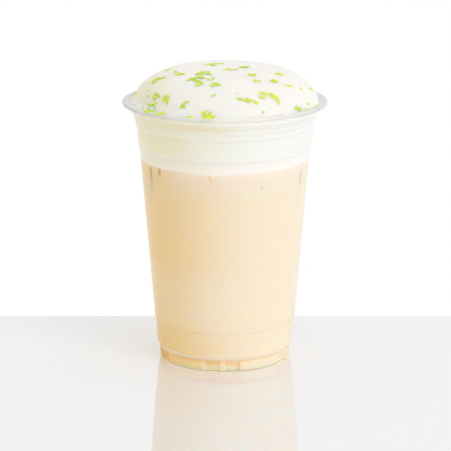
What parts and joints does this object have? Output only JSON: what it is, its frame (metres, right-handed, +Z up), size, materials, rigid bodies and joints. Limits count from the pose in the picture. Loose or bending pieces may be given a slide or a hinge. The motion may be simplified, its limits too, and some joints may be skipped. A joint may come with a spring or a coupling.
{
  "type": "cheese foam tea",
  "caption": "Clear plastic takeaway cup of milk tea with ice, topped by a domed layer of whipped cheese foam that swells over the rim.",
  "frame": {"origin": "centre of the cup's base, on the surface that it stands on", "axes": "+Z up along the cup's axis, -Y to the front, +X to the right seen from the front"},
  "size_m": [0.098, 0.098, 0.143],
  "materials": {
    "clear_plastic": "clear and glossy",
    "milk_tea": "cloudy pale milk tea",
    "cheese_foam": "smooth whipped cream with a soft sheen"
  },
  "bodies": {
    "root": {"cup": "clear_plastic", "tea": "milk_tea", "foam": "cheese_foam"}
  },
  "joints": []
}
